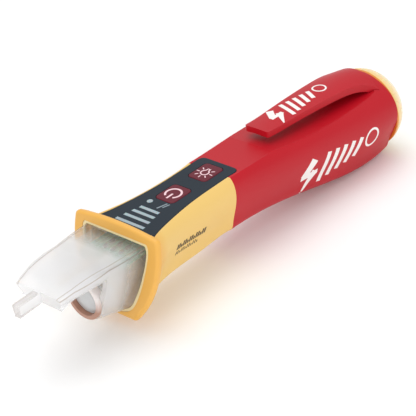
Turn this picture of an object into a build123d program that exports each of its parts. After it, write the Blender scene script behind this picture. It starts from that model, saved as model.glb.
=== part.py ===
from build123d import *
import os
from dataclasses import dataclass, replace
from math import cos, radians, sin, sqrt

# Pen-shaped voltage tester. It lies along X with its clear sensing nose at -X, its control
# panel facing +Z and its battery cap at +X. The origin is under the middle of its length, on
# the surface that it lies on. Millimetres.

# ---- lengths along the tester ----
blade_reach = 8.0  # sensing blade in front of the nose
nose_length = 30.5  # nose in front of the collar
front_length = 39.7  # collar face to the seam between the two housings
rear_length = 73.3  # seam to the battery cap
cap_height = 8.5  # dome of the battery cap

overall_length = blade_reach + nose_length + front_length + rear_length + cap_height
x_tip = -overall_length / 2
x_nose = x_tip + blade_reach
x_collar = x_nose + nose_length
x_seam = x_collar + front_length
x_cap = x_seam + rear_length
x_end = x_cap + cap_height

# ---- walls, clearances and fits ----
wall = 1.6  # both housings
lens_wall = 1.5  # clear nose
running_gap = 0.08  # radial, between a sliding piece and its guide
free_gap = 0.2  # beside a piece that only has to pass
seat_gap = 0.02  # beside a piece that is held still
flex_gap = 0.15  # round the root of the pocket clip

# ---- circuit board ----
board_thickness = 1.0
board_half = 6.9
board_head_half = 8.0
board_drop = 4.7  # top of the board below the panel surface
board_head = 6.0  # how far it reaches into the nose
board_rear = 46.5

# ---- batteries (size AAA) ----
cell_radius = 5.15
cell_length = 44.5
nub_radius = 1.9
nub_height = 0.9
spring_length = 4.2
sled_wall = 0.5
tube_wall = 0.5
cell_gap = 0.25  # between the board and the cell under it
battery_drop = board_drop + board_thickness + cell_gap + cell_radius  # battery axis
sled_inner = cell_radius + 0.1
sled_outer = sled_inner + sled_wall
tube_inner = sled_outer + running_gap
tube_outer = tube_inner + tube_wall
cap_ring_thickness = 0.8

# ---- grip and heights ----
grip_depth = 28.1  # panel surface down to the lowest point of the grip
panel_z = grip_depth  # height of the panel surface above the rest plane
cap_radius = 13.3  # rear end of the handle, where the cap sits
cap_drop = 14.0  # its axis, below the panel surface
neck_half = 9.6  # half width of the narrow part behind the collar
neck_wall = 1.67  # below the battery tube
neck_depth = battery_drop + tube_outer + free_gap + neck_wall
seam_half = 9.65
seam_depth = neck_depth + 0.3
grip_half = 13.4  # half width of the thickest part of the grip

# ---- collar ----
collar_rake = 11.5  # degrees that its foot leans towards the nose
collar_thickness = 2.4
collar_half = 16.1
collar_crown = 3.4  # top of the collar above the panel surface
collar_shoulder = 2.2  # its top corners above the panel surface
collar_depth = 24.4
collar_foot_half = 8.2
collar_edge = 1.0
collar_step = 0.8  # width of the recess round the nose root
collar_step_depth = 0.7

# ---- nose and torch ----
nose_top = 0.5  # top of the nose below the panel surface
nose_root_half = 11.4
nose_root_depth = 22.4
nose_front_half = 8.7
nose_front_depth = 6.0
nose_wedge_depth = 7.0  # underside of the wedge just in front of the torch
nose_root_length = 1.8  # part of the nose held inside the collar
blade_thickness = 2.0
blade_height = 4.0
blade_drop = 1.7  # its top edge below the panel surface
torch_radius = 6.3  # outside of the torch tube
torch_drop = 13.5  # axis of the torch below the panel surface
torch_reach = 15.3  # its front face in front of the collar

# ---- control panel ----
panel_thickness = 1.2
panel_front_half = 12.0
panel_waist_half = 7.15
panel_rear_half = 7.3
panel_corner = 2.0
panel_length = 44.8  # from the collar
panel_proud = 0.05
panel_ledge = 1.5  # width of housing that it rests on
panel_waist = 31.0  # where it is narrowest, behind the collar
button_length = 8.8
button_width = 7.1
button_corner = 1.4
button_proud = 0.15
button_travel = 0.5
button_gap = 0.12
power_place = 24.3  # behind the collar
torch_place = 38.2
bar_places = [6.2, 9.0, 11.7, 14.2]
bar_front_half = 5.4
bar_rear_half = 3.6
bar_length = 1.1
lamp_place = 17.8
lamp_side = 3.2
lamp_radius = 0.9

# ---- pocket clip ----
clip_tip = 61.4  # behind the collar
clip_root = 110.0
clip_half = 4.45
clip_root_half = 8.9
clip_thickness = 1.9
clip_rise = 3.5  # top of the tip above the panel surface

os.makedirs("parts", exist_ok=True)


def height(drop):
    """Z of a level given as a distance below the panel surface."""
    return panel_z - drop


def behind(distance):
    """X of a place given as a distance behind the collar face."""
    return x_collar + distance


def leaning(x, rake):
    """Section plane through x at the panel surface: its own X is across, its own Y is up."""
    tilt = radians(rake)
    return Plane(origin=(x, 0, panel_z), x_dir=(0, 1, 0), z_dir=(cos(tilt), 0, -sin(tilt)))


collar_plane = leaning(x_collar, collar_rake)


def publish(part, name):
    part.label = name
    export_step(part, f"parts/{name}.step")


def cylinder_x(start, end, radius, drop, across=0.0):
    """A round bar along X between two X values."""
    with BuildPart(mode=Mode.PRIVATE) as bar:
        with BuildSketch(Plane((start, across, height(drop)), x_dir=(0, 1, 0), z_dir=(1, 0, 0))):
            Circle(radius)
        extrude(amount=end - start)
    return bar.part


def block(start, end, half_width, top_drop, bottom_drop, across=0.0):
    """A plain block between two X values and two levels."""
    with BuildPart(mode=Mode.PRIVATE) as solid:
        with BuildSketch(Plane.XY.offset(height(bottom_drop))):
            with Locations(((start + end) / 2, across)):
                Rectangle(end - start, 2 * half_width)
        extrude(amount=bottom_drop - top_drop)
    return solid.part


def stretch(station, start, end):
    """One cross-section carried straight along X between two places behind the collar."""
    with BuildPart(mode=Mode.PRIVATE) as bar:
        extrude(replace(station, place=start, rake=0).face(), amount=end - start, dir=(1, 0, 0))
    return bar.part


@dataclass
class Station:
    """One cross-section: half widths, with each one's distance below the panel surface."""

    place: float
    rake: float
    top_half: float
    side_half: float
    side_drop: float
    low_half: float
    low_drop: float
    depth: float
    top_drop: float = 0.0
    crown: float = 0.0
    shoulder: float = 0.9

    def inside(self, thickness):
        """The same section with a wall's thickness taken off all round."""
        return replace(
            self,
            top_half=self.top_half - thickness,
            side_half=self.side_half - thickness,
            low_half=self.low_half - 1.1 * thickness,
            low_drop=self.low_drop - 0.6 * thickness,
            depth=self.depth - thickness,
            top_drop=self.top_drop + thickness,
        )

    def face(self, along=0.0):
        """The section as a face, which can be moved square to its own plane."""
        top = -self.top_drop + self.crown
        corner = (self.top_half, -self.top_drop)
        slope = 2 * self.crown / self.top_half
        with BuildSketch(leaning(behind(self.place), self.rake).offset(along)) as outline:
            with BuildLine():
                Spline((0, top), corner, tangents=[(1, 0), (1, -slope)])
                Spline(
                    corner,
                    (self.side_half, -self.side_drop),
                    (self.low_half, -self.low_drop),
                    (0, -self.depth),
                    tangents=[(1, -max(self.shoulder, slope)), (-1, 0)],
                )
                mirror(about=Plane.YZ)
            make_face()
        return outline.sketch


def round_station(place, radius, drop, top_half=4.5):
    """A circular section in the same four-edge form."""
    side = sqrt(radius**2 - top_half**2)
    diagonal = radius * sqrt(0.5)
    return Station(
        place, 0, top_half, radius, drop, diagonal, drop + diagonal, drop + radius,
        top_drop=drop - side, crown=radius - side, shoulder=top_half / side,
    )


# ---- the two housings share one outline, cut at the seam ----
seam_station = Station(
    front_length, 0, 8.0, seam_half, 3.4, tube_outer + 1.07, battery_drop + 4.2, seam_depth
)
front_stations = [
    Station(1.5, collar_rake, panel_front_half + 0.1, 15.0, 5.0, 9.2, 20.3, 22.9),
    Station(6.0, 10.0, 11.0, 13.3, 4.6, 8.4, 17.6, 21.6),
    Station(12.5, 7.0, 9.3, 11.3, 4.2, tube_outer + 1.27, battery_drop + 4.6, neck_depth + 0.8),
    Station(22.0, 3.5, 7.9, 10.0, 3.8, tube_outer + 0.97, battery_drop + 4.1, neck_depth + 0.3),
    Station(panel_waist, 1.0, 7.5, neck_half, 3.5, tube_outer + 0.87, battery_drop + 3.9,
            neck_depth),
    seam_station,
]
rear_stations = [
    seam_station,
    Station(60.0, 0, 8.4, 10.8, 5.4, 8.2, 16.8, 20.9, top_drop=0.4),
    Station(80.0, 0, 7.6, 12.4, 8.8, 9.3, 19.9, 24.7, top_drop=0.3, crown=0.5, shoulder=0.6),
    Station(103.0, 0, 5.0, grip_half, 13.0, 9.6, 24.0, grip_depth, top_drop=0.6, crown=1.1,
            shoulder=0.45),
    round_station(front_length + rear_length, cap_radius, cap_drop),
]

with BuildPart() as front_form:
    loft([station.face() for station in front_stations])

with BuildPart() as rear_form:
    loft([station.face() for station in rear_stations])

# ---- outline of the nose, which also shapes the opening in the collar ----
nose_root = Station(0.0, collar_rake, nose_root_half - 0.3, nose_root_half + 0.2, 5.4, 7.9, 17.8,
                    nose_root_depth, top_drop=nose_top, crown=0.05)
bezel_flange = 1.0
torch_step = -torch_reach + bezel_flange
lobe_stations = [
    Station(torch_step, 0, 10.0, 10.1, 4.6, 6.1, 15.6, torch_drop + torch_radius,
            top_drop=nose_top, crown=0.05),
    Station(torch_step / 2, collar_rake / 2, 10.8, 10.9, 5.0, 7.2, 16.7, 21.2,
            top_drop=nose_top, crown=0.05),
    nose_root,
]
wedge_stations = [
    Station(-nose_length, -10.0, nose_front_half - 0.7, nose_front_half - 0.2, 3.2,
            nose_front_half - 1.6, nose_front_depth - 0.8, nose_front_depth, top_drop=1.9,
            crown=0.2),
    Station(-nose_length + 5.0, -4.0, nose_front_half + 0.4, nose_front_half + 0.6, 3.4, 7.0,
            nose_front_depth - 0.6, nose_front_depth + 0.5, top_drop=0.9, crown=0.1),
    Station(torch_step + 1.0, 0, 10.1, 10.2, 3.6, 7.8, nose_wedge_depth - 1.1, nose_wedge_depth,
            top_drop=nose_top, crown=0.05),
]

with BuildPart() as nose_form:
    loft([station.face() for station in lobe_stations])
    loft([station.face() for station in wedge_stations])

with BuildPart() as nose_hollow:
    loft([station.inside(lens_wall).face() for station in lobe_stations])
    loft([station.inside(lens_wall).face() for station in wedge_stations[1:]])


# ---- control panel outline, used by the panel and by its recess in both housings ----
panel_front = 2.15  # behind the collar face, tucked against the collar
panel_top = panel_z + panel_proud
panel_bottom = panel_top - panel_thickness


def panel_outline(gap):
    """Plan of the control panel, grown by a gap: wide at the collar, waisted, round corners."""
    with BuildSketch(Plane.XY.offset(panel_bottom), mode=Mode.PRIVATE) as plan:
        with BuildLine():
            front = (behind(panel_front) - gap, panel_front_half + gap)
            waist = (behind(panel_waist), panel_waist_half + gap)
            rear = (behind(panel_length) + gap, panel_rear_half + gap)
            Line((front[0], 0), front)
            Spline(front, (behind(11.5), 9.05 + gap), waist, tangents=[(1, -0.62), (1, 0)])
            Spline(waist, rear, tangents=[(1, 0), (1, 0.06)])
            Line(rear, (rear[0], 0))
            mirror(about=Plane.XZ)
        make_face()
        fillet(plan.vertices().group_by(Axis.X)[-1].filter_by(lambda v: abs(v.Y) > 1), panel_corner)
    return plan.sketch


window_front = behind(5.0)
window_rear = behind(panel_length - 1.2)
window_half = panel_waist_half - panel_ledge
with BuildPart() as panel_recess:
    add(panel_outline(0.06))
    extrude(amount=6)
    add(block(window_front, window_rear, window_half, -1.0, 4.2))

# ---- front housing: collar, flared neck and a spigot for the rear housing ----
top_corner = (collar_half - 0.4, collar_shoulder)
foot_corner = (collar_foot_half, -collar_depth)
with BuildPart() as collar:
    with BuildSketch(collar_plane) as collar_outline:
        with BuildLine():
            ThreePointArc((-top_corner[0], top_corner[1]), (0, collar_crown), top_corner)
            ThreePointArc(top_corner, (collar_half - 0.6, -10.5), foot_corner)
            Line(foot_corner, (-foot_corner[0], foot_corner[1]))
            ThreePointArc(
                (-foot_corner[0], foot_corner[1]), (-collar_half + 0.6, -10.5),
                (-top_corner[0], top_corner[1]),
            )
        make_face()
        fillet(collar_outline.vertices(), 1.6)
    extrude(amount=collar_thickness)
    fillet(collar.faces().sort_by(SortBy.AREA)[-2:].edges(), collar_edge)

spigot_length = 3.0
spigot_wall = 0.8
front_cavity_stations = [
    replace(nose_root.inside(0.6), place=nose_root_length - 0.2),
    front_stations[1].inside(wall),
    front_stations[2].inside(wall),
    front_stations[3].inside(wall),
    front_stations[4].inside(wall),
    replace(seam_station, place=front_length + spigot_length + 1).inside(wall),
]
with BuildPart() as front_cavity:
    loft([station.face() for station in front_cavity_stations], ruled=True)

mouth_lead = 4.0  # how far in front of the collar the cutters for its opening start
with BuildPart() as front_housing:
    add(front_form.part)
    add(collar.part)
    add(stretch(seam_station.inside(spigot_wall), front_length - 1, front_length + spigot_length))
    add(front_cavity.part, mode=Mode.SUBTRACT)
    add(cylinder_x(x_collar, behind(front_length + spigot_length + 1), tube_outer + free_gap,
                   battery_drop), mode=Mode.SUBTRACT)
    extrude(nose_root.inside(-running_gap).face(-mouth_lead), dir=collar_plane.z_dir,
            amount=mouth_lead + nose_root_length + free_gap, mode=Mode.SUBTRACT)
    extrude(nose_root.inside(-collar_step).face(-mouth_lead), dir=collar_plane.z_dir,
            amount=mouth_lead + collar_step_depth, mode=Mode.SUBTRACT)
    add(panel_recess.part, mode=Mode.SUBTRACT)
publish(front_housing.part, "front_housing")

# ---- clear nose with its sensing blade and torch tube ----
torch_front = behind(-torch_reach)
torch_wall = 0.6
bezel_depth = 9.0
with BuildPart() as nose_lens:
    add(nose_form.part)
    add(cylinder_x(behind(torch_step), torch_front + bezel_depth, torch_radius, torch_drop))
    extrude(nose_root.face(), amount=nose_root_length, dir=collar_plane.z_dir)
    with BuildSketch(Plane.XZ.offset(-blade_thickness / 2)) as blade:
        with BuildLine():
            Polyline(
                (x_nose + 1.4, height(blade_drop)), (x_tip, height(blade_drop)),
                (x_tip + 0.4, height(blade_drop + blade_height)),
                (x_nose + 1.4, height(blade_drop + blade_height - 0.4)),
                close=True,
            )
        make_face()
        fillet(blade.vertices().group_by(Axis.X)[0], 0.5)
        fillet(blade.vertices().group_by(Axis.X)[0], 0.5)
    extrude(amount=blade_thickness)
    add(nose_hollow.part, mode=Mode.SUBTRACT)
    extrude(nose_root.inside(lens_wall).face(), amount=nose_root_length + 1,
            dir=collar_plane.z_dir, mode=Mode.SUBTRACT)
    add(cylinder_x(torch_front, torch_front + bezel_depth + 0.5, torch_radius - torch_wall,
                   torch_drop), mode=Mode.SUBTRACT)
    add(cylinder_x(torch_front - 0.1, torch_front + bezel_flange, torch_radius + 0.05,
                   torch_drop), mode=Mode.SUBTRACT)
publish(nose_lens.part, "nose_lens")

# ---- pocket clip: a crowned strip that runs back into the round of the handle ----
@dataclass
class ClipStation:
    place: float
    half: float
    top: float  # above the panel surface, on the middle line
    crown: float
    thickness: float

    def face(self, gap=0.0, cover=0.0):
        half = self.half + gap
        edge = self.top - self.crown * (half / self.half) ** 2
        under = self.thickness + gap
        plane = leaning(behind(self.place), 0)
        with BuildSketch(plane, mode=Mode.PRIVATE) as outline:
            with BuildLine():
                ThreePointArc((-half, edge + cover), (0, self.top + cover), (half, edge + cover))
                Line((half, edge + cover), (half, edge - under))
                ThreePointArc((half, edge - under), (0, self.top - under), (-half, edge - under))
                Line((-half, edge - under), (-half, edge + cover))
            make_face()
        return outline.sketch


root_side = sqrt(cap_radius**2 - clip_root_half**2)
clip_root_top = cap_radius - cap_drop
clip_stations = [
    ClipStation(clip_tip, clip_half, clip_rise, 0.15, clip_thickness),
    ClipStation(72.0, 4.85, 3.1, 0.25, clip_thickness),
    ClipStation(86.0, 5.6, 2.9, 0.45, clip_thickness + 0.1),
    ClipStation(97.0, 6.2, 2.6, 0.9, clip_thickness + 0.3),
    ClipStation(104.0, 7.0, 2.2, 1.9, clip_thickness + 0.5),
    ClipStation(clip_root, clip_root_half, clip_root_top + 2.1, cap_radius - root_side + 1.4,
                clip_thickness + 0.6),
]
with BuildPart() as pocket_clip:
    loft([station.face() for station in clip_stations])
    tip_edges = pocket_clip.faces().sort_by(Axis.X)[0].edges().sort_by(Axis.Y)
    fillet([tip_edges[0], tip_edges[-1]], 0.8)
publish(pocket_clip.part, "pocket_clip")

clip_pocket_stations = [station.face(flex_gap, 3.0) for station in clip_stations[3:]]
with BuildPart() as clip_pocket:
    loft(clip_pocket_stations)
    extrude(clip_stations[-1].face(flex_gap, 3.0), amount=flex_gap, dir=(1, 0, 0))

# ---- rear housing: tapered grip, dished under the clip ----
cap_bore = 11.0
cap_plug_length = 3.2
throat = 9.2  # clear radius under the root of the clip
rear_cavity_stations = [
    replace(seam_station, place=front_length - 0.5).inside(wall),
    replace(rear_stations[1].inside(wall), top_drop=4.6, top_half=6.4, crown=0.0, side_drop=9.0),
    replace(rear_stations[2].inside(wall), top_drop=4.65, top_half=6.6, crown=0.0, side_drop=10.0),
    replace(rear_stations[3].inside(wall + 1.0), top_drop=4.7, top_half=6.2, crown=0.0),
    round_station(clip_root + 1.0, throat, cap_drop - 0.2),
]
with BuildPart() as rear_cavity:
    loft([station.face() for station in rear_cavity_stations], ruled=True)
    add(cylinder_x(behind(clip_root) + 0.5, x_cap + 1, throat, cap_drop - 0.2))

with BuildPart() as clip_dish:
    with BuildSketch(Plane.XZ.offset(-20)):
        with BuildLine():
            floor_line = Spline(
                (behind(56.5), height(0.25)), (behind(66), height(1.3)),
                (behind(82), height(2.6)), (behind(98), height(3.3)),
                (behind(108), height(3.2)), tangents=[(1, -0.06), (1, 0.1)],
            )
            Polyline(floor_line @ 1, (behind(108), height(-8)), (behind(56.5), height(-8)),
                     floor_line @ 0)
        make_face()
    extrude(amount=40)

with BuildPart() as rear_housing:
    add(rear_form.part)
    add(clip_dish.part, mode=Mode.SUBTRACT)
    add(clip_pocket.part, mode=Mode.SUBTRACT)
    add(rear_cavity.part, mode=Mode.SUBTRACT)
    add(stretch(seam_station.inside(spigot_wall - running_gap), front_length - 1,
                front_length + spigot_length + free_gap), mode=Mode.SUBTRACT)
    add(cylinder_x(x_seam - 1, x_cap, tube_outer + seat_gap, battery_drop), mode=Mode.SUBTRACT)
    add(cylinder_x(x_cap - cap_plug_length - free_gap, x_cap + 1, cap_bore, cap_drop),
        mode=Mode.SUBTRACT)
    add(panel_recess.part, mode=Mode.SUBTRACT)
publish(rear_housing.part, "rear_housing")

# ---- seal round the nose root, in the collar's recess ----
seal_gap = 0.05
seal_thickness = 0.55
with BuildPart() as nose_seal:
    extrude(nose_root.inside(seal_gap - collar_step).face(collar_step_depth - seal_thickness),
            dir=collar_plane.z_dir, amount=seal_thickness)
    extrude(nose_root.inside(-running_gap).face(-mouth_lead), dir=collar_plane.z_dir,
            amount=2 * mouth_lead, mode=Mode.SUBTRACT)
publish(nose_seal.part, "nose_seal")

# ---- torch: bezel, lens, reflector and lamp in the tube under the nose ----
sleeve_radius = torch_radius - torch_wall - running_gap
bezel_sleeve = 3.0
bezel_wall = 0.52
bezel_eye = sleeve_radius - bezel_wall
bezel_offset = 0.2  # the eye sits above the middle of the bezel
with BuildPart() as torch_bezel:
    add(cylinder_x(torch_front, torch_front + bezel_flange, torch_radius, torch_drop))
    add(cylinder_x(torch_front + bezel_flange, torch_front + bezel_sleeve, sleeve_radius,
                   torch_drop))
    fillet(torch_bezel.edges().filter_by(GeomType.CIRCLE).sort_by(Axis.X)[0], 0.3)
    add(cylinder_x(torch_front - 1, torch_front + bezel_depth, bezel_eye,
                   torch_drop - bezel_offset), mode=Mode.SUBTRACT)
publish(torch_bezel.part, "torch_bezel")

with BuildPart() as torch_lens:
    with BuildSketch(Plane.XZ):
        with BuildLine():
            axis_z = height(torch_drop - bezel_offset)
            edge_z = axis_z + bezel_eye - 0.05
            Line((torch_front + 2.6, axis_z), (torch_front + 0.4, axis_z))
            ThreePointArc((torch_front + 0.4, axis_z), (torch_front + 0.7, axis_z + bezel_eye / 2),
                          (torch_front + 1.5, edge_z))
            Polyline((torch_front + 1.5, edge_z), (torch_front + 2.6, edge_z),
                     (torch_front + 2.6, axis_z))
        make_face()
    revolve(axis=Axis((0, 0, axis_z), (1, 0, 0)))
publish(torch_lens.part, "torch_lens")

reflector_front = torch_front + bezel_sleeve + 0.05
reflector_rear = torch_front + 8.0
reflector_lip = 0.4
lamp_radius_torch = 2.5
lamp_hole = lamp_radius_torch + 0.1
reflector_belly = lamp_hole + 0.38 * (sleeve_radius - reflector_lip - lamp_hole)
lamp_face = torch_front + 7.0
with BuildPart() as torch_reflector:
    with BuildSketch(Plane.XZ):
        with BuildLine():
            axis_t = height(torch_drop)
            Polyline(
                (reflector_front, axis_t + sleeve_radius), (reflector_rear, axis_t + sleeve_radius),
                (reflector_rear, axis_t + lamp_hole), (lamp_face, axis_t + lamp_hole),
            )
            ThreePointArc((lamp_face, axis_t + lamp_hole),
                          (torch_front + 5.2, axis_t + reflector_belly),
                          (reflector_front, axis_t + sleeve_radius - reflector_lip))
            Line((reflector_front, axis_t + sleeve_radius - reflector_lip),
                 (reflector_front, axis_t + sleeve_radius))
        make_face()
    revolve(axis=Axis((0, 0, axis_t), (1, 0, 0)))
publish(torch_reflector.part, "torch_reflector")

with BuildPart() as torch_led:
    add(cylinder_x(lamp_face - 1.2, lamp_face + 5.0, lamp_radius_torch, torch_drop))
    fillet(torch_led.edges().filter_by(GeomType.CIRCLE).sort_by(Axis.X)[0], 2.3)
    add(cylinder_x(lamp_face + 5.0, lamp_face + 5.9, lamp_radius_torch + 0.4, torch_drop))
publish(torch_led.part, "torch_led")

# ---- circuit board and what is soldered to it ----
board_top = board_drop
board_bottom = board_drop + board_thickness
board_front_x = behind(-board_head)
screw_place = 10.4
screw_across = 4.9
screw_radius = 0.8
with BuildPart() as main_board:
    with BuildSketch(Plane.XY.offset(height(board_bottom))):
        with BuildLine():
            Polyline(
                (board_front_x, 0), (board_front_x, board_head_half),
                (behind(11.0), board_head_half), (behind(14.0), board_half),
                (behind(board_rear), board_half), (behind(board_rear), 0),
            )
            mirror(about=Plane.XZ)
        make_face()
        with Locations((behind(screw_place), screw_across), (behind(screw_place), -screw_across)):
            Circle(screw_radius + 0.1, mode=Mode.SUBTRACT)
    extrude(amount=board_thickness)
publish(main_board.part, "main_board")

with BuildPart() as controller_chip:
    add(block(behind(31.0), behind(35.2), 2.1, board_top - 1.1, board_top, across=-3.4))
    chamfer(controller_chip.faces().sort_by(Axis.Z)[-1].edges(), 0.2)
publish(controller_chip.part, "controller_chip")

with BuildPart() as board_components:
    with Locations((x_collar, 0, height(board_top))):
        with GridLocations(2.6, 3.0, 2, 3):
            Box(1.6, 0.9, 0.7, align=(Align.CENTER, Align.CENTER, Align.MIN))
publish(board_components.part, "board_components")

buzzer_place = 3.2
with BuildPart() as buzzer:
    with BuildSketch(Plane((behind(buzzer_place), 0, height(board_bottom + 2.6)))):
        Circle(5.0)
    extrude(amount=2.6)
    with BuildSketch(Plane((behind(buzzer_place), 0, height(board_bottom + 2.6)))):
        Circle(0.9)
    extrude(amount=1.0, mode=Mode.SUBTRACT)
publish(buzzer.part, "buzzer")

signal_led_radius = 1.5
with BuildPart() as signal_leds:
    for across in (-3.6, 3.6):
        add(cylinder_x(board_front_x - 4.2, board_front_x, signal_led_radius, board_top - 0.9,
                       across))
    fillet(signal_leds.edges().filter_by(GeomType.CIRCLE).group_by(Axis.X)[0], 1.3)
publish(signal_leds.part, "signal_leds")

antenna_radius = 0.4
with BuildPart() as sensor_antenna:
    add(cylinder_x(x_nose + 8.0, board_front_x + 2.0, antenna_radius, board_top - antenna_radius))
publish(sensor_antenna.part, "sensor_antenna")

with BuildPart() as bar_leds:
    for place in bar_places:
        add(block(behind(place) - 0.6, behind(place) + 0.6, 1.6, board_top - 0.8, board_top))
    add(block(behind(lamp_place) - 0.6, behind(lamp_place) + 0.6, 0.8, board_top - 0.8, board_top,
              across=lamp_side))
publish(bar_leds.part, "bar_leds")

# ---- light guides that carry the lamps up to the panel ----
guide_plate_top = -panel_proud + panel_thickness
guide_plate_bottom = guide_plate_top + 0.8


def bar_half(place):
    """The bars shorten evenly from the front one to the rear one."""
    share = (place - bar_places[0]) / (bar_places[-1] - bar_places[0])
    return bar_front_half + share * (bar_rear_half - bar_front_half)


with BuildPart() as light_guide:
    add(block(behind(bar_places[0]) - 0.9, behind(bar_places[-1]) + 0.9, window_half - 0.15,
              guide_plate_top, guide_plate_bottom))
    for place in bar_places:
        add(block(behind(place) - bar_length / 2, behind(place) + bar_length / 2,
                  bar_half(place), -panel_proud, guide_plate_top))
        add(block(behind(place) - 0.5, behind(place) + 0.5, 1.4, guide_plate_bottom,
                  board_top - 0.9))
publish(light_guide.part, "light_guide")

with BuildPart() as power_lamp:
    with BuildSketch(Plane((behind(lamp_place), lamp_side, height(board_top - 0.9)))):
        Circle(lamp_radius)
    extrude(amount=board_top - 0.9 + panel_proud)
publish(power_lamp.part, "power_lamp")

# ---- control panel ----
button_places = {"power": power_place, "torch": torch_place}


def button_outline(place, gap):
    """Rounded rectangle of a button, grown by a gap."""
    with BuildSketch(Plane.XY, mode=Mode.PRIVATE) as plan:
        with Locations((behind(place), 0)):
            RectangleRounded(button_length + 2 * gap, button_width + 2 * gap, button_corner + gap)
    return plan.sketch


with BuildPart() as control_panel:
    extrude(panel_outline(0.0), amount=panel_thickness)
    panel_rim = control_panel.faces().sort_by(Axis.Z)[-1].edges().sort_by(Axis.X)[2:]
    fillet(panel_rim, 0.25)
    with BuildSketch(Plane.XY.offset(panel_bottom)):
        for place in button_places.values():
            add(button_outline(place, button_gap))
        for place in bar_places:
            with Locations((behind(place), 0)):
                Rectangle(bar_length + 0.06, 2 * bar_half(place) + 0.06)
        with Locations((behind(lamp_place), lamp_side)):
            Circle(lamp_radius + 0.03)
    extrude(amount=panel_thickness, mode=Mode.SUBTRACT)
publish(control_panel.part, "control_panel")

# ---- the two buttons with the plungers of their switches ----
flange_thickness = 0.6
flange_width = 0.7
stem_half = 1.4
switch_half = 3.0
switch_height = 1.7
plunger_radius = 1.6
flange_top = panel_bottom - 0.02
flange_bottom = flange_top - flange_thickness
plunger_top = height(board_top) + switch_height + 0.95
plunger_bottom = height(board_top) + 1.0

for name, place in button_places.items():
    with BuildPart() as button:
        with BuildSketch(Plane.XY.offset(flange_top)):
            add(button_outline(place, 0))
        extrude(amount=panel_top + button_proud - flange_top)
        fillet(button.faces().sort_by(Axis.Z)[-1].edges(), 0.35)
        with BuildSketch(Plane.XY.offset(flange_bottom)):
            with Locations((behind(place), 0)):
                Rectangle(button_length + 2 * flange_width, button_width + 2 * flange_width)
        extrude(amount=flange_thickness)
        with BuildSketch(Plane.XY.offset(plunger_top)):
            with Locations((behind(place), 0)):
                Rectangle(2 * stem_half, 2 * stem_half)
        extrude(amount=flange_bottom - plunger_top)
    publish(button.part, f"{name}_button")

    with BuildPart() as plunger:
        with BuildSketch(Plane.XY.offset(plunger_bottom)):
            with Locations((behind(place), 0)):
                Circle(plunger_radius)
        extrude(amount=plunger_top - plunger_bottom)
    publish(plunger.part, f"{name}_plunger")

    with BuildPart() as switch:
        add(block(behind(place) - switch_half, behind(place) + switch_half, switch_half,
                  board_top - switch_height, board_top))
        with BuildSketch(Plane.XY.offset(plunger_bottom - button_travel - 0.15)):
            with Locations((behind(place), 0)):
                Circle(plunger_radius + running_gap)
        extrude(amount=switch_height, mode=Mode.SUBTRACT)
    publish(switch.part, f"{name}_switch")

# ---- battery tube fixed in the housings, open at the rear ----
sled_rear = x_cap - cap_plug_length
sled_plate = 1.7
rear_cell_end = sled_rear - sled_plate - spring_length
front_cell_end = rear_cell_end - cell_length
sled_front = front_cell_end - cell_length - 0.3
contact_plate = 1.2
tube_front = sled_front - contact_plate - 1.6
tube_rear = x_cap - cap_plug_length - 0.6
leaf_thickness = 0.3
rib_places = [58.0, 82.0]
boss_lead = 2.0  # the tube's floor under the board starts this far before the screws

with BuildPart() as battery_tube:
    add(cylinder_x(tube_front, tube_rear, tube_outer, battery_drop))
    for place in rib_places:
        with BuildPart(mode=Mode.PRIVATE) as rib:
            add(rear_cavity.part)
            add(block(behind(place) - 0.7, behind(place) + 0.7, 20, -5, 40), mode=Mode.INTERSECT)
        add(offset(rib.part, amount=-0.05, mode=Mode.PRIVATE))
    add(block(behind(screw_place) - boss_lead, tube_front, board_half - 0.2, board_bottom + 0.02,
              board_bottom + 3.2))
    add(cylinder_x(tube_front + 0.8, tube_rear + 1, tube_inner, battery_drop), mode=Mode.SUBTRACT)
    add(block(behind(screw_place) - boss_lead - 0.6, behind(board_rear) + 1.5, 8, 0,
              board_bottom + 0.02),
        mode=Mode.SUBTRACT)
    with BuildSketch(Plane.XY.offset(height(board_bottom))):
        with Locations((behind(screw_place), screw_across), (behind(screw_place), -screw_across)):
            Circle(screw_radius + 0.02)
    extrude(amount=-2.9, mode=Mode.SUBTRACT)
publish(battery_tube.part, "battery_tube")

with BuildPart() as board_screws:
    with BuildSketch(Plane.XY.offset(height(board_bottom + 2.6))):
        with Locations((behind(screw_place), screw_across), (behind(screw_place), -screw_across)):
            Circle(screw_radius)
    extrude(amount=2.6 + board_thickness)
    with BuildSketch(Plane.XY.offset(height(board_top))):
        with Locations((behind(screw_place), screw_across), (behind(screw_place), -screw_across)):
            Circle(1.7)
    extrude(amount=1.1)
    fillet(board_screws.edges().filter_by(GeomType.CIRCLE).group_by(Axis.Z)[-1], 0.5)
publish(board_screws.part, "board_screws")

with BuildPart() as positive_leaf:
    add(cylinder_x(tube_front + 0.8, tube_front + 0.8 + leaf_thickness, 3.0, battery_drop))
publish(positive_leaf.part, "positive_leaf")

strip_half = 1.2
strip_start = behind(54.0)
with BuildPart() as negative_strip:
    with BuildSketch(Plane.XY.offset(height(battery_drop) - strip_half)):
        with Locations(((strip_start + tube_rear) / 2, tube_outer + 0.02 + leaf_thickness / 2)):
            Rectangle(tube_rear - strip_start, leaf_thickness)
    extrude(amount=2 * strip_half)
    for place in rib_places:
        add(block(behind(place) - 1, behind(place) + 1, 20, 0, 30), mode=Mode.SUBTRACT)
publish(negative_strip.part, "negative_strip")

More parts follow.
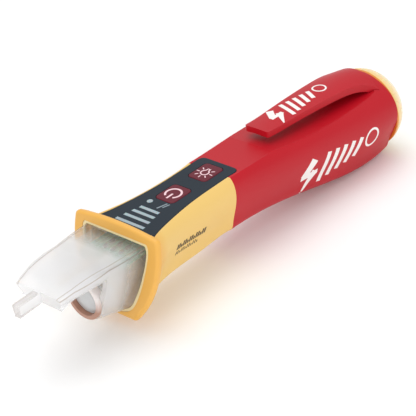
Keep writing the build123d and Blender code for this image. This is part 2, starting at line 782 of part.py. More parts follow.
# ---- battery sled: an open trough that leaves with the cap ----
with BuildPart() as battery_sled:
    add(cylinder_x(sled_front - contact_plate, sled_rear, sled_outer, battery_drop))
    add(cylinder_x(sled_front, sled_rear - sled_plate, sled_inner, battery_drop),
        mode=Mode.SUBTRACT)
    add(block(sled_front, sled_rear - sled_plate, 8, 0, battery_drop - 2.2), mode=Mode.SUBTRACT)
    add(cylinder_x(sled_front - 5, sled_front + 1, nub_radius, battery_drop), mode=Mode.SUBTRACT)
    add(block(tube_front, behind(board_rear) + 1.6, 8, 0, board_bottom + 0.15),
        mode=Mode.SUBTRACT)
publish(battery_sled.part, "battery_sled")

with BuildPart() as sled_contact:
    add(cylinder_x(sled_front - contact_plate - 0.4, sled_front + 0.3, nub_radius - 0.02,
                   battery_drop))
publish(sled_contact.part, "sled_contact")

for name, start in {"front_cell": front_cell_end - cell_length,
                    "rear_cell": rear_cell_end - cell_length}.items():
    with BuildPart() as cell:
        add(cylinder_x(start + nub_height, start + cell_length, cell_radius, battery_drop))
        fillet(cell.edges().filter_by(GeomType.CIRCLE), 0.5)
        add(cylinder_x(start, start + nub_height + 0.2, nub_radius, battery_drop))
    publish(cell.part, name)

spring_wire = 0.3
spring_radius = 3.2
spring_turns = 3
spring_start = rear_cell_end + spring_wire + 0.02
spring_rise = spring_length - 2 * spring_wire - 0.04
with BuildPart() as battery_spring:
    with BuildLine():
        coil = Helix(spring_rise / spring_turns, spring_rise, spring_radius,
                     center=(spring_start, 0, height(battery_drop)), direction=(1, 0, 0))
    with BuildSketch(Plane(coil @ 0, z_dir=coil % 0)):
        Circle(spring_wire)
    sweep(is_frenet=True)
publish(battery_spring.part, "battery_spring")

# ---- battery cap with its seal ----
seal_radius = 0.7
groove_x = x_cap - 1.6
with BuildPart() as end_cap:
    with BuildSketch(Plane.XZ):
        with BuildLine():
            cap_axis = height(cap_drop)
            Line((x_end, cap_axis), (x_cap - cap_plug_length, cap_axis))
            Polyline(
                (x_cap - cap_plug_length, cap_axis),
                (x_cap - cap_plug_length, cap_axis + cap_bore - running_gap),
                (x_cap + cap_ring_thickness, cap_axis + cap_bore - running_gap),
                (x_cap + cap_ring_thickness, cap_axis + cap_radius - 0.1),
                (x_cap + cap_ring_thickness + 0.6, cap_axis + cap_radius - 0.15),
            )
            Spline((x_cap + cap_ring_thickness + 0.6, cap_axis + cap_radius - 0.15),
                   (x_cap + 0.74 * cap_height, cap_axis + 0.8 * cap_radius), (x_end, cap_axis),
                   tangents=[(1, -0.2), (0, -1)])
        make_face()
    revolve(axis=Axis((0, 0, cap_axis), (1, 0, 0)))
    with BuildSketch(Plane.XZ):
        with Locations((groove_x, cap_axis + cap_bore - running_gap)):
            Rectangle(2 * seal_radius + 0.1, 4 * seal_radius)
    revolve(axis=Axis((0, 0, cap_axis), (1, 0, 0)), mode=Mode.SUBTRACT)
publish(end_cap.part, "end_cap")

with BuildPart() as cap_seal:
    with BuildSketch(Plane.XZ):
        with Locations((groove_x, cap_axis + cap_bore - running_gap - seal_radius + 0.02)):
            Circle(seal_radius - 0.02)
    revolve(axis=Axis((0, 0, cap_axis), (1, 0, 0)))
publish(cap_seal.part, "cap_seal")

with BuildPart() as cap_ring:
    with BuildSketch(Plane((x_cap + 0.03, 0, cap_axis), x_dir=(0, 1, 0), z_dir=(1, 0, 0))):
        Circle(cap_radius - 0.05)
        Circle(cap_bore - running_gap + 0.02, mode=Mode.SUBTRACT)
    extrude(amount=cap_ring_thickness - 0.04)
publish(cap_ring.part, "cap_ring")
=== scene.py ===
from math import cos, pi, radians, sin

import bpy
from mathutils import Matrix, Vector
from mathutils.bvhtree import BVHTree


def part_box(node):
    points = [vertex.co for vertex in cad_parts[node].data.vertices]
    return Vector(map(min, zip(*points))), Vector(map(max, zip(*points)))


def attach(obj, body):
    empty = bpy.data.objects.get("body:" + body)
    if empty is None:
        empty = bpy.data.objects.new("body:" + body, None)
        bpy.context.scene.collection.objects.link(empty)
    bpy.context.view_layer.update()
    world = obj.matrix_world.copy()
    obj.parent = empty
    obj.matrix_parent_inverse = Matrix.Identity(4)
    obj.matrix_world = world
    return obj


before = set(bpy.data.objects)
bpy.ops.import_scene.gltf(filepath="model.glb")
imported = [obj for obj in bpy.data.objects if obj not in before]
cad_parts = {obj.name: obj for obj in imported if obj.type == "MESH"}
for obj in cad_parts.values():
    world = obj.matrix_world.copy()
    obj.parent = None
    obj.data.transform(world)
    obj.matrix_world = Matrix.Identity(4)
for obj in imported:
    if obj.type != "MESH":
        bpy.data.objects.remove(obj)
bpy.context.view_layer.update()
MM = 0.001

# ---- where things are on the tester, all from the frame's own nodes ----
collar_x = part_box("control_panel")[0].x - 2.15 * MM
panel_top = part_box("control_panel")[1].z
blade_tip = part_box("nose_lens")[0].x


def behind(distance):
    """X of a place given in millimetres behind the collar face."""
    return collar_x + distance * MM


# ---------------------------------------------------------------- materials
def linear(code):
    """Linear colour from an sRGB hex value."""
    parts = [int(code[i:i + 2], 16) / 255 for i in (1, 3, 5)]
    return (*[p / 12.92 if p <= 0.04045 else ((p + 0.055) / 1.055) ** 2.4 for p in parts], 1.0)


def add(tree, kind, inputs=None, **settings):
    """Adds one node with its settings; an input is a value or another node's socket."""
    made = tree.nodes.new(kind)
    for name, value in settings.items():
        setattr(made, name, value)
    for name, value in (inputs or {}).items():
        if isinstance(value, bpy.types.NodeSocket):
            tree.links.new(value, made.inputs[name])
        else:
            made.inputs[name].default_value = value
    return made


def two_colours(tree, share, first, second):
    """A colour between two hex values, by a share from 0 to 1."""
    mix = add(tree, "ShaderNodeMix", {"Factor": share}, data_type="RGBA")
    mix.inputs[6].default_value = linear(first)
    mix.inputs[7].default_value = linear(second)
    return mix.outputs[2]


def start_material(name):
    """A new material with its tree, its object coordinates and its shader."""
    made = bpy.data.materials.new(name)
    made.use_nodes = True
    tree = made.node_tree
    shader = tree.nodes["Principled BSDF"]
    place = add(tree, "ShaderNodeTexCoord").outputs["Object"]
    return made, tree, shader, place


def finish_surface(name, first, second, patch, rough, grain, depth, **sockets):
    """One moulded, rolled or plated surface. Its colour drifts between two hex values over
    patches and its roughness between two values over handled areas; the grain is a bump.
    Patch, grain and depth are in millimetres."""
    made, tree, shader, place = start_material(name)
    drift = add(tree, "ShaderNodeTexNoise", {"Vector": place, "Scale": 1000 / patch, "Detail": 3.0})
    tree.links.new(two_colours(tree, drift.outputs["Fac"], first, second),
                   shader.inputs["Base Color"])
    handled = add(tree, "ShaderNodeTexNoise", {"Vector": place, "Scale": 400 / patch,
                                               "Detail": 4.0, "Roughness": 0.6})
    polish = add(tree, "ShaderNodeMapRange", {"Value": handled.outputs["Fac"], "From Min": 0.3,
                                              "From Max": 0.7, "To Min": rough[0],
                                              "To Max": rough[1]})
    tree.links.new(polish.outputs["Result"], shader.inputs["Roughness"])
    texture = add(tree, "ShaderNodeTexNoise", {"Vector": place, "Scale": 1000 / grain,
                                               "Detail": 2.0})
    bump = add(tree, "ShaderNodeBump", {"Height": texture.outputs["Fac"], "Strength": 0.5,
                                        "Distance": depth * MM})
    tree.links.new(bump.outputs["Normal"], shader.inputs["Normal"])
    for socket, value in sockets.items():
        shader.inputs[socket.replace("_", " ")].default_value = value
    return made


def fading(made, axis, start, end, far_colour):
    """Turns the base colour of a finish towards another one between two places on an axis."""
    tree = made.node_tree
    base = tree.nodes["Principled BSDF"].inputs["Base Color"]
    place = add(tree, "ShaderNodeTexCoord").outputs["Object"]
    level = add(tree, "ShaderNodeSeparateXYZ", {"Vector": place}).outputs[axis]
    share = add(tree, "ShaderNodeMapRange", {"Value": level, "From Min": start, "From Max": end})
    mixed = add(tree, "ShaderNodeMix", {"Factor": share.outputs["Result"]}, data_type="RGBA")
    tree.links.new(base.links[0].from_socket, mixed.inputs[6])
    mixed.inputs[7].default_value = linear(far_colour)
    tree.links.new(mixed.outputs[2], base)
    return made


# The shell is deepest in colour at the collar and turns paler over this stretch behind it; the
# paler stretch is a painted highlight.
shell_highlight_fade = (1.5, 8.0)
# Spark-eroded ABS: satin, with a fine even grain, a little glossier where it is handled; its colour
# fades to a painted highlight behind the collar.
shell_yellow = fading(
    finish_surface("shell_yellow_abs", "#EDB452", "#E9AD48", 18, (0.36, 0.46), 0.35, 0.012,
                   IOR=1.54),
    "X", behind(shell_highlight_fade[0]), behind(shell_highlight_fade[1]), "#EBC470")
# Tough moulded polypropylene handle: deep even red, soft broad highlights.
grip_red = finish_surface("grip_red_polypropylene", "#BE0B1F", "#B6091C", 22, (0.32, 0.42), 0.4,
                          0.012, IOR=1.50, Specular_IOR_Level=0.3)

# Places along the nose, in millimetres behind the collar face.
wedge_front = -30.5
wedge_shoulder = -25.5
wedge_level_from = -14.3
clear_from = -9.0
clear_to = -0.5


def nose_polycarbonate():
    """Clear at the root, where the board shows through with a speckle of scattered light, and
    frosted inside towards the blade. The thick wall shows as a bright line between two darker
    ones along both top edges; the darker ones are painted shade, and so is the blade's rim."""
    made = finish_surface("nose_clear_polycarbonate", "#FFFFFF", "#FBFBFD", 6, (0.10, 0.18),
                          2.5, 0.02, IOR=1.50, Transmission_Weight=0.45)
    tree = made.node_tree
    shader = tree.nodes["Principled BSDF"]
    place = add(tree, "ShaderNodeTexCoord").outputs["Object"]
    where = add(tree, "ShaderNodeSeparateXYZ", {"Vector": place}).outputs

    def between(value, start, end, first=0.0, last=1.0):
        return add(tree, "ShaderNodeMapRange", {"Value": value, "From Min": start, "From Max": end,
                                                "To Min": first, "To Max": last}).outputs["Result"]

    def reckon(operation, first, second=0.0):
        return add(tree, "ShaderNodeMath", {0: first, 1: second}, operation=operation).outputs[0]

    root = between(where["X"], behind(clear_from), behind(clear_to))
    fine = add(tree, "ShaderNodeTexNoise", {"Vector": place, "Scale": 2600.0, "Detail": 1.0})
    speckle = reckon("MULTIPLY", root, between(fine.outputs["Fac"], 0.4, 0.62))
    # Half width and level of the top edge, from the root to the wedge's front.
    half = reckon("ADD",
                  between(where["X"], behind(wedge_shoulder), behind(0), 9.1 * MM, 11.1 * MM),
                  between(where["X"], behind(wedge_front), behind(wedge_shoulder),
                          -1.1 * MM, 0.0))
    level = reckon("ADD",
                   between(where["X"], behind(wedge_shoulder), behind(wedge_level_from),
                           -0.9 * MM, -0.5 * MM),
                   between(where["X"], behind(wedge_front), behind(wedge_shoulder),
                           -1.0 * MM, 0.0))
    inwards = reckon("SUBTRACT", half, reckon("ABSOLUTE", where["Y"]))
    downwards = reckon("SUBTRACT", reckon("ADD", level, panel_top), where["Z"])
    off_edge = reckon("MAXIMUM", inwards, downwards)
    # Painted shade: two dark lines 0.62 mm in from each top edge, on the top and on the side, leave
    # the edge bright between them.
    off_line = reckon("ABSOLUTE", reckon("SUBTRACT", off_edge, 0.62 * MM))
    painted_edge_shade = between(off_line, 0.2 * MM, 0.05 * MM)
    painted_edge_shade = reckon("MULTIPLY", painted_edge_shade, between(downwards, 1.6 * MM, 1.2 * MM))
    # The blade's rim, in painted shade: the tip, the top and the bottom of its sides.
    painted_rim_shade = reckon("MAXIMUM", between(where["X"], blade_tip + 0.8 * MM, blade_tip + 0.5 * MM),
                 between(where["Z"], panel_top - 2.5 * MM, panel_top - 2.2 * MM))
    painted_rim_shade = reckon("MAXIMUM", painted_rim_shade, between(where["Z"], panel_top - 4.9 * MM, panel_top - 5.2 * MM))
    painted_rim_shade = reckon("MULTIPLY", painted_rim_shade, between(where["X"], behind(-30.6), behind(-31.0), 0.0, 0.55))
    painted_edge_shade = reckon("MAXIMUM", painted_edge_shade, painted_rim_shade)
    # The speckle, then the painted shade of the edges and the rim, are mixed into the base colour.
    for share, colour in ((speckle, "#A89A78"), (painted_edge_shade, "#B3A49C")):
        shade = add(tree, "ShaderNodeMix", {"Factor": share}, data_type="RGBA")
        tree.links.new(shader.inputs["Base Color"].links[0].from_socket, shade.inputs[6])
        shade.inputs[7].default_value = linear(colour)
        tree.links.new(shade.outputs[2], shader.inputs["Base Color"])
    clearness = between(root, 0.0, 1.0, 0.6, 0.25)
    tree.links.new(reckon("MAXIMUM", clearness, painted_edge_shade), shader.inputs["Alpha"])
    return made


# Injection-moulded polycarbonate: glossy, clear or frosted as its inner face is.
nose_clear = nose_polycarbonate()
# Same polycarbonate as a thin optical lens over the torch.
lens_clear = finish_surface("lens_clear_polycarbonate", "#FFFFFF", "#F4F6F6", 4, (0.08, 0.14),
                            1.5, 0.01, IOR=1.585, Transmission_Weight=0.55)
# Soft cream elastomer lip round the nose root.
seal_cream = finish_surface("seal_cream_elastomer", "#F6E3B4", "#EFD9A2", 8, (0.45, 0.55), 0.5,
                            0.01, IOR=1.45)
# Hard-coated polyester film: navy-black ink seen through a very finely textured coat.
panel_navy = finish_surface("panel_navy_polyester_film", "#0D2230", "#0A1B28", 14, (0.3, 0.4),
                            0.22, 0.008, IOR=1.5, Specular_IOR_Level=0.3)
# Silicone key tops, dark raspberry with a soft bloom.
key_raspberry = finish_surface("key_raspberry_silicone", "#6A1528", "#5F1224", 7, (0.38, 0.5),
                               0.3, 0.012, IOR=1.43, Specular_IOR_Level=0.4)
# Opal acrylic light guides: pale grey-blue when unlit.
guide_opal = finish_surface("guide_opal_acrylic", "#A9B8BE", "#9DAEB6", 5, (0.22, 0.3), 0.4,
                            0.004, IOR=1.49, Subsurface_Weight=0.25, Subsurface_Scale=0.001)
# Screen-printed ink on the keys, with the slight tooth that ink has.
ink_rose = finish_surface("ink_rose_print", "#F6D5DA", "#EEC8CF", 3, (0.45, 0.55), 0.2, 0.004,
                          IOR=1.5)
# Pad-printed white ink on the handle.
ink_white = finish_surface("ink_white_print", "#F8F5F2", "#F1ECE8", 6, (0.4, 0.5), 0.25, 0.004,
                           IOR=1.5)
# Pad-printed dark brown ink on the yellow shell.
ink_brown = finish_surface("ink_brown_print", "#1E140E", "#18100B", 6, (0.45, 0.55), 0.25, 0.004,
                           IOR=1.5)
# Grey print on the panel film.
ink_grey = finish_surface("ink_grey_print", "#8E9AA2", "#84919A", 4, (0.4, 0.5), 0.2, 0.003,
                          IOR=1.5)

# Brown lacquered bezel of the torch; its colour turns pale towards its top.
torch_axis_z = (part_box("torch_bezel")[0].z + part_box("torch_bezel")[1].z) / 2
bezel_copper = fading(
    finish_surface("bezel_copper_lacquer", "#B98C78", "#A67762", 5, (0.3, 0.42), 0.4, 0.006,
                   IOR=1.5),
    "Z", torch_axis_z - 2.5 * MM, torch_axis_z + 2.0 * MM, "#EFE6E3")
# Vacuum-metallised reflector: a near mirror with a faint orange peel.
reflector_chrome = finish_surface("reflector_vacuum_chrome", "#E8E8E8", "#DADADC", 3,
                                  (0.08, 0.14), 1.2, 0.006, Metallic=1.0)
# Clear epoxy lamp bodies.
led_epoxy = finish_surface("led_clear_epoxy", "#FBFAF2", "#F3F1E2", 3, (0.08, 0.15), 0.8, 0.004,
                           IOR=1.54, Transmission_Weight=0.7)
# Glass-filled nylon inside the housings: charcoal, slightly streaked.
nylon_charcoal = finish_surface("nylon_charcoal_moulded", "#2B2C2E", "#222325", 9, (0.42, 0.55),
                                0.35, 0.012, IOR=1.53)
# Moulded epoxy of chips, switches' keys and the buzzer.
epoxy_black = finish_surface("epoxy_black_moulded", "#2E2F31", "#242527", 3, (0.5, 0.62), 0.15,
                             0.006, IOR=1.55)
# Nickel-plated spring steel: bright with fine drawing marks.
nickel_plate = finish_surface("nickel_plated_spring_steel", "#CFCBC2", "#C2BDB2", 4, (0.2, 0.3),
                              0.2, 0.003, Metallic=1.0)
# Turned brass pins.
brass_turned = finish_surface("brass_turned", "#D2B068", "#C4A058", 3, (0.2, 0.3), 0.2, 0.003,
                              Metallic=1.0)
# Zinc-plated screws: greyish with a slightly blotchy passivation.
zinc_plate = finish_surface("zinc_plated_steel", "#B9BCC0", "#A6ABB0", 2, (0.28, 0.4), 0.3,
                            0.004, Metallic=1.0)
# Translucent pale yellow cap: light enters it and comes back warm.
cap_amber = fading(
    finish_surface("cap_amber_translucent", "#F8CF86", "#F5C87C", 9, (0.22, 0.32), 0.5, 0.008,
                   IOR=1.50, Subsurface_Weight=0.3, Subsurface_Scale=0.003),
    "X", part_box("cap_ring")[1].x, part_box("end_cap")[1].x - 2.0 * MM, "#FBF3D6")
# Orange ring between handle and cap.
ring_orange = finish_surface("ring_orange_abs", "#E58A2A", "#DB7F22", 8, (0.3, 0.4), 0.4, 0.006,
                             IOR=1.54)
# Nitrile O-ring.
nitrile_black = finish_surface("nitrile_black", "#1D1D1E", "#161617", 5, (0.5, 0.65), 0.3, 0.008,
                               IOR=1.48)


def board_laminate():
    """Solder-masked laminate: green lacquer over copper traces 0.5 mm wide on a 1.6 mm pitch."""
    made, tree, shader, place = start_material("board_green_laminate")
    traces = add(tree, "ShaderNodeTexBrick", {"Vector": place, "Color1": linear("#1C7A58"),
                                              "Color2": linear("#23805F"),
                                              "Mortar": linear("#3FA57F"), "Scale": 1000.0,
                                              "Mortar Size": 0.25, "Mortar Smooth": 0.1,
                                              "Brick Width": 4.2, "Row Height": 1.6},
                 offset=0.37, squash=1.0)
    tree.links.new(traces.outputs["Color"], shader.inputs["Base Color"])
    bump = add(tree, "ShaderNodeBump", {"Height": traces.outputs["Fac"], "Strength": 0.4,
                                        "Distance": 0.03 * MM})
    tree.links.new(bump.outputs["Normal"], shader.inputs["Normal"])
    shader.inputs["Roughness"].default_value = 0.28
    shader.inputs["IOR"].default_value = 1.55
    return made


# How far a cell's bare tip and its copper-coloured shoulder reach, and how soft an edge is.
cell_tip = 1.2 * MM
cell_shoulder = 11.2 * MM
print_edge = 0.2 * MM


def cell_jacket(name, front_x):
    """Printed film jacket of a cell: a copper-coloured shoulder, then charcoal."""
    made, tree, shader, place = start_material(name)
    along = add(tree, "ShaderNodeSeparateXYZ", {"Vector": place}).outputs["X"]
    shoulder = add(tree, "ShaderNodeMapRange", {"Value": along,
                                                "From Min": front_x + cell_shoulder,
                                                "From Max": front_x + cell_shoulder + print_edge})
    jacket = two_colours(tree, shoulder.outputs["Result"], "#C98A4B", "#2A2D33")
    tip = add(tree, "ShaderNodeMapRange", {"Value": along, "From Min": front_x + cell_tip,
                                           "From Max": front_x + cell_tip + print_edge})
    mix = add(tree, "ShaderNodeMix", {"Factor": tip.outputs["Result"]}, data_type="RGBA")
    mix.inputs[6].default_value = linear("#C9C6BE")
    tree.links.new(jacket, mix.inputs[7])
    tree.links.new(mix.outputs[2], shader.inputs["Base Color"])
    wrap = add(tree, "ShaderNodeTexNoise", {"Vector": place, "Scale": 1000 / 1.5, "Detail": 2.0})
    bump = add(tree, "ShaderNodeBump", {"Height": wrap.outputs["Fac"], "Strength": 0.3,
                                        "Distance": 0.02 * MM})
    tree.links.new(bump.outputs["Normal"], shader.inputs["Normal"])
    shader.inputs["Roughness"].default_value = 0.25
    shader.inputs["Metallic"].default_value = 0.35
    return made


board_green = board_laminate()
finishes = {
    "front_housing": shell_yellow,
    "nose_lens": nose_clear,
    "nose_seal": seal_cream,
    "rear_housing": grip_red,
    "pocket_clip": grip_red,
    "control_panel": panel_navy,
    "power_button": key_raspberry,
    "torch_button": key_raspberry,
    "power_plunger": epoxy_black,
    "torch_plunger": epoxy_black,
    "power_switch": nickel_plate,
    "torch_switch": nickel_plate,
    "light_guide": guide_opal,
    "power_lamp": guide_opal,
    "bar_leds": led_epoxy,
    "main_board": board_green,
    "controller_chip": epoxy_black,
    "board_components": epoxy_black,
    "buzzer": epoxy_black,
    "signal_leds": led_epoxy,
    "sensor_antenna": brass_turned,
    "torch_bezel": bezel_copper,
    "torch_lens": lens_clear,
    "torch_reflector": reflector_chrome,
    "torch_led": led_epoxy,
    "battery_tube": nylon_charcoal,
    "board_screws": zinc_plate,
    "positive_leaf": nickel_plate,
    "negative_strip": nickel_plate,
    "battery_sled": nylon_charcoal,
    "sled_contact": brass_turned,
    "battery_spring": nickel_plate,
    "front_cell": cell_jacket("front_cell_jacket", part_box("front_cell")[0].x),
    "rear_cell": cell_jacket("rear_cell_jacket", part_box("rear_cell")[0].x),
    "end_cap": cap_amber,
    "cap_ring": ring_orange,
    "cap_seal": nitrile_black,
}
for name, finish in finishes.items():
    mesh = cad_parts[name].data
    if mesh.materials:
        for index in range(len(mesh.materials)):
            mesh.materials[index] = finish
    else:
        mesh.materials.append(finish)


# ---------------------------------------------------------------- printed marks
def surface_of(node):
    """The surface of a CAD node, to print on."""
    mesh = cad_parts[node].data
    return BVHTree.FromPolygons([v.co for v in mesh.vertices],
                                [tuple(p.vertices) for p in mesh.polygons])


def arc(centre, radius, start, end, width, steps=24):
    """Points of a curved stroke; angles in degrees."""
    turns = [radians(start + (end - start) * k / steps) for k in range(steps + 1)]
    return [(centre[0] + radius * cos(t), centre[1] + radius * sin(t), width) for t in turns]


def straight(first, last, width, last_width=None, steps=8):
    """Points of a straight stroke that may taper."""
    last_width = width if last_width is None else last_width
    points = []
    for k in range(steps + 1):
        share = k / steps
        points.append((first[0] + (last[0] - first[0]) * share,
                       first[1] + (last[1] - first[1]) * share,
                       width + (last_width - width) * share))
    return points


# Ink stands this far above a surface and sinks this far into it.
ink_height = 0.04 * MM
ink_sink = 0.02 * MM
# A stroke is laid from this far outside the surface.
print_reach = 30 * MM


def printed(name, strokes, node, body, finish, origin, along, up):
    """Strokes of ink laid on a CAD surface as closed thin ribbons. A stroke's points are
    millimetres along and up from the origin, with the width there."""
    along, up = Vector(along).normalized(), Vector(up).normalized()
    towards = up.cross(along).normalized()
    skin = surface_of(node)
    verts, faces = [], []

    def lay(u, v):
        start = origin + along * u * MM + up * v * MM - towards * print_reach
        spot, normal, _, _ = skin.ray_cast(start, towards)
        if spot is None:
            raise ValueError(f"{name} misses {node} at {u:.1f}, {v:.1f}")
        if normal.dot(towards) > 0:
            normal = -normal
        verts.append(spot + normal * ink_height)
        verts.append(spot - normal * ink_sink)

    for stroke in strokes:
        base = len(verts)
        for k, (u, v, width) in enumerate(stroke):
            before, after = stroke[max(k - 1, 0)], stroke[min(k + 1, len(stroke) - 1)]
            ahead = Vector((after[0] - before[0], after[1] - before[1])).normalized()
            side = Vector((-ahead.y, ahead.x)) * width / 2
            for share in (-1, 0, 1):
                lay(u + side.x * share, v + side.y * share)
        last = len(stroke) - 1
        for k in range(last):
            row, following = base + 6 * k, base + 6 * (k + 1)
            for column in (0, 2):
                a, b = row + column, row + column + 2
                c, d = following + column + 2, following + column
                faces.append((a, b, c, d))
                faces.append((d + 1, c + 1, b + 1, a + 1))
            faces.append((row + 1, row, following, following + 1))
            faces.append((row + 4, row + 5, following + 5, following + 4))
        for row, turned in ((base, False), (base + 6 * last, True)):
            for column in (0, 2):
                end = (row + column, row + column + 1, row + column + 3, row + column + 2)
                faces.append(end[::-1] if turned else end)
    mesh = bpy.data.meshes.new(name)
    mesh.from_pydata(verts, [], faces)
    made = bpy.data.objects.new(name, mesh)
    bpy.context.scene.collection.objects.link(made)
    mesh.materials.append(finish)
    mesh.update()
    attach(made, body)
    return made


def centre_of(node):
    """Middle of a CAD node's box."""
    low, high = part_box(node)
    return (low + high) / 2


to_rear, to_far_side, upwards = (1, 0, 0), (0, 1, 0), (0, 0, 1)
power_centre, torch_centre = centre_of("power_button"), centre_of("torch_button")

# Power symbol: an open ring and a bar that points at the nose.
printed("power_symbol",
        [arc((0, 0), 2.4, -145, 145, 0.62), straight((-3.0, 0), (-0.3, 0), 0.62)],
        "power_button", "power_key", ink_rose, power_centre, to_rear, to_far_side)

# Bulb symbol: a small ring with a socket towards the rear; its rays are made further down.
bulb_centre = torch_centre + Vector((-0.35, 0, 0)) * MM
printed("torch_symbol",
        [arc((0, 0), 1.25, 25, 335, 0.4), straight((1.13, 0.5), (2.1, 0.42), 0.38),
         straight((1.13, -0.5), (2.1, -0.42), 0.38), straight((2.1, -0.6), (2.1, 0.6), 0.35)],
        "torch_button", "torch_key", ink_rose, bulb_centre, to_rear, to_far_side)


def ray_tree():
    """Geometry Nodes: short ink bars evenly round a circle."""
    tree = bpy.data.node_groups.new("rays_round_a_ring", "GeometryNodeTree")
    sizes = {"Rays": ("NodeSocketInt", 7), "First Turn": ("NodeSocketFloat", 0.0),
             "Sweep": ("NodeSocketFloat", 1.0), "Radius": ("NodeSocketFloat", 0.002),
             "Length": ("NodeSocketFloat", 0.001), "Width": ("NodeSocketFloat", 0.0003),
             "Height": ("NodeSocketFloat", 0.0001)}
    for label, (kind, value) in sizes.items():
        tree.interface.new_socket(label, in_out="INPUT", socket_type=kind).default_value = value
    tree.interface.new_socket("Ink", in_out="INPUT", socket_type="NodeSocketMaterial")
    tree.interface.new_socket("Geometry", in_out="OUTPUT", socket_type="NodeSocketGeometry")
    given = add(tree, "NodeGroupInput").outputs
    points = add(tree, "GeometryNodePoints", {"Count": given["Rays"]})
    index = add(tree, "GeometryNodeInputIndex").outputs[0]
    last = add(tree, "ShaderNodeMath", {0: given["Rays"], 1: 1.0}, operation="SUBTRACT")
    share = add(tree, "ShaderNodeMath", {0: index, 1: last.outputs[0]}, operation="DIVIDE")
    turn = add(tree, "ShaderNodeMath", {0: share.outputs[0], 1: given["Sweep"],
                                        2: given["First Turn"]}, operation="MULTIPLY_ADD")
    across = add(tree, "ShaderNodeMath", {0: turn.outputs[0]}, operation="COSINE")
    upward = add(tree, "ShaderNodeMath", {0: turn.outputs[0]}, operation="SINE")
    out = add(tree, "ShaderNodeCombineXYZ", {"X": across.outputs[0], "Y": upward.outputs[0]})
    reach = add(tree, "ShaderNodeVectorMath", {0: out.outputs[0], "Scale": given["Radius"]},
                operation="SCALE")
    placed = add(tree, "GeometryNodeSetPosition", {"Geometry": points.outputs[0],
                                                   "Position": reach.outputs[0]})
    size = add(tree, "ShaderNodeCombineXYZ", {"X": given["Length"], "Y": given["Width"],
                                              "Z": given["Height"]})
    bar = add(tree, "GeometryNodeMeshCube", {"Size": size.outputs[0], "Vertices X": 4})
    facing = add(tree, "ShaderNodeCombineXYZ", {"Z": turn.outputs[0]})
    copies = add(tree, "GeometryNodeInstanceOnPoints", {"Points": placed.outputs[0],
                                                        "Instance": bar.outputs[0],
                                                        "Rotation": facing.outputs[0]})
    solid = add(tree, "GeometryNodeRealizeInstances", {"Geometry": copies.outputs[0]})
    inked = add(tree, "GeometryNodeSetMaterial", {"Geometry": solid.outputs[0],
                                                  "Material": given["Ink"]})
    add(tree, "NodeGroupOutput", {"Geometry": inked.outputs[0]})
    return tree


def grown(name, tree, values, place, body):
    """Runs a tree on an empty mesh and keeps the result as a plain mesh at its place."""
    seed = bpy.data.objects.new(name + "_seed", bpy.data.meshes.new(name + "_seed"))
    bpy.context.scene.collection.objects.link(seed)
    modifier = seed.modifiers.new("grow", "NODES")
    modifier.node_group = tree
    for item in tree.interface.items_tree:
        if item.in_out == "INPUT" and item.name in values:
            modifier[item.identifier] = values[item.name]
    bpy.context.view_layer.update()
    evaluated = seed.evaluated_get(bpy.context.evaluated_depsgraph_get())
    mesh = bpy.data.meshes.new_from_object(evaluated)
    mesh.transform(Matrix.Translation(place))
    mesh.name = name
    bpy.data.objects.remove(seed)
    made = bpy.data.objects.new(name, mesh)
    bpy.context.scene.collection.objects.link(made)
    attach(made, body)
    return made


key_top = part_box("torch_button")[1].z
grown("torch_rays", ray_tree(),
      {"Rays": 7, "First Turn": radians(50), "Sweep": radians(260), "Radius": 2.42 * MM,
       "Length": 1.05 * MM, "Width": 0.34 * MM, "Height": 0.08 * MM, "Ink": ink_rose},
      Vector((bulb_centre.x, bulb_centre.y, key_top)), "torch_key")

# Where each mark starts: behind the collar face, and below the panel's top.
dashes_behind = 15.9
grip_mark_behind, grip_mark_below = 68.2, 15.0
clip_mark_behind = 68.3
shell_mark_behind, shell_mark_below = 13.4, 9.6

# Small print beside the lamp: two plain dashes.
printed("panel_dashes",
        [straight((0, 0), (3.4, -1.0), 0.45), straight((1.1, -1.2), (3.4, -1.9), 0.4)],
        "control_panel", "housing", ink_grey,
        Vector((behind(dashes_behind), -1.2 * MM, panel_top)), to_rear, to_far_side)

def bolt_and_bars(size, bars, ring):
    """A generic mark: a plain bolt, slanted bars that shorten, and a small ring."""
    strokes = [straight((0.52 * size, 0.5 * size), (0.12 * size, 0.0), 0.3 * size, 0.26 * size),
               straight((0.04 * size, 0.0), (0.70 * size, 0.0), 0.17 * size),
               straight((0.60 * size, 0.06 * size), (0.12 * size, -0.56 * size), 0.3 * size,
                        0.05 * size)]
    for k in range(bars):
        at = (1.0 + 0.36 * k) * size
        tall = (0.48 - 0.05 * k) * size
        strokes.append(straight((at - 0.14 * size, -tall), (at + 0.14 * size, tall), 0.17 * size))
    strokes.append(arc((at + 0.62 * size, 0.05 * size), ring * size, 0, 360, 0.07 * size))
    return strokes


# White marks on the side of the handle and, smaller, on the clip.
printed("grip_mark", bolt_and_bars(10.4, 5, 0.28), "rear_housing", "housing", ink_white,
        Vector((behind(grip_mark_behind), 0, panel_top - grip_mark_below * MM)),
        to_rear, upwards)
printed("clip_mark", bolt_and_bars(7.8, 5, 0.27), "pocket_clip", "clip", ink_white,
        Vector((behind(clip_mark_behind), 0, panel_top)), to_rear, to_far_side)


def scale_marks(count, pitch, tall, width, drop):
    """A row of plain slanted ticks, every third one short."""
    ticks = []
    for k in range(count):
        rise = tall * (0.6 if k % 3 == 2 else 1.0)
        foot = (pitch * k, drop - 0.12 * pitch * k)
        ticks.append(straight(foot, (foot[0] + 0.25 * rise, foot[1] + rise), width, steps=3))
    return ticks


# Two rows of brown ticks on the side of the yellow shell.
printed("shell_mark",
        scale_marks(14, 0.98, 1.8, 0.62, 0.0) + scale_marks(12, 0.88, 1.3, 0.36, -2.1),
        "front_housing", "housing", ink_brown,
        Vector((behind(shell_mark_behind), 0, panel_top - shell_mark_below * MM)), to_rear, upwards)

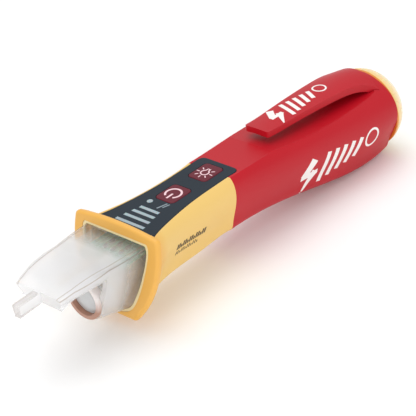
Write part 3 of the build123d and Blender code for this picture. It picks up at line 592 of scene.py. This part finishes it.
# ---------------------------------------------------------------- camera, light and floor
camera_place = (-0.30556, -0.29887, 0.27540)
camera_azimuth = radians(-45.253)
camera_elevation = radians(31.383)
camera_roll = radians(-6.693)
camera = bpy.data.objects.new("camera", bpy.data.cameras.new("camera"))
camera.data.sensor_width = 36.0
camera.data.lens = 147.1
camera.data.clip_start = 0.01
camera.matrix_world = (
    Matrix.Translation(camera_place)
    @ Matrix.Rotation(camera_azimuth, 4, "Z")
    @ Matrix.Rotation(pi / 2 - camera_elevation, 4, "X")
    @ Matrix.Rotation(camera_roll, 4, "Z")
)
bpy.context.scene.collection.objects.link(camera)
bpy.context.scene.camera = camera


def softbox(name, place, target, size, power):
    """A square area light that faces a point."""
    lamp = bpy.data.lights.new(name, "AREA")
    lamp.shape = "SQUARE"
    lamp.size = size
    lamp.energy = power
    made = bpy.data.objects.new(name, lamp)
    made.location = place
    made.rotation_euler = (Vector(target) - Vector(place)).to_track_quat("-Z", "Y").to_euler()
    bpy.context.scene.collection.objects.link(made)


softbox("overhead_softbox", (0.05, 0.12, 0.75), (0, 0, 0), 0.6, 2.0)
softbox("near_side_softbox", (-0.15, -0.75, 0.35), (0, 0, 0.01), 0.5, 1.1)
softbox("nose_softbox", (-0.75, -0.10, 0.35), (-0.03, 0, 0.01), 0.4, 0.9)

world_strength = 0.74
world = bpy.data.worlds.new("studio")
world.use_nodes = True
world.node_tree.nodes["Background"].inputs["Color"].default_value = linear("#FFFFFF")
world.node_tree.nodes["Background"].inputs["Strength"].default_value = world_strength
bpy.context.scene.world = world
bpy.context.scene.view_settings.view_transform = "Standard"

floor_material, floor_tree, floor_shader, floor_place = start_material("floor_white_paper")
paper = add(floor_tree, "ShaderNodeTexNoise", {"Vector": floor_place, "Scale": 60.0})
floor_tree.links.new(two_colours(floor_tree, paper.outputs["Fac"], "#FBFBFB", "#FFFFFF"),
                     floor_shader.inputs["Base Color"])
floor_shader.inputs["Roughness"].default_value = 0.9
floor_mesh = bpy.data.meshes.new("floor")
floor_reach = 3.0
floor_gap = 0.1 * MM
floor_mesh.from_pydata([(-floor_reach, -floor_reach, 0), (floor_reach, -floor_reach, 0),
                        (floor_reach, floor_reach, 0), (-floor_reach, floor_reach, 0)],
                       [], [(0, 1, 2, 3)])
floor = bpy.data.objects.new("floor", floor_mesh)
floor.location.z = -floor_gap
floor_mesh.materials.append(floor_material)
bpy.context.scene.collection.objects.link(floor)
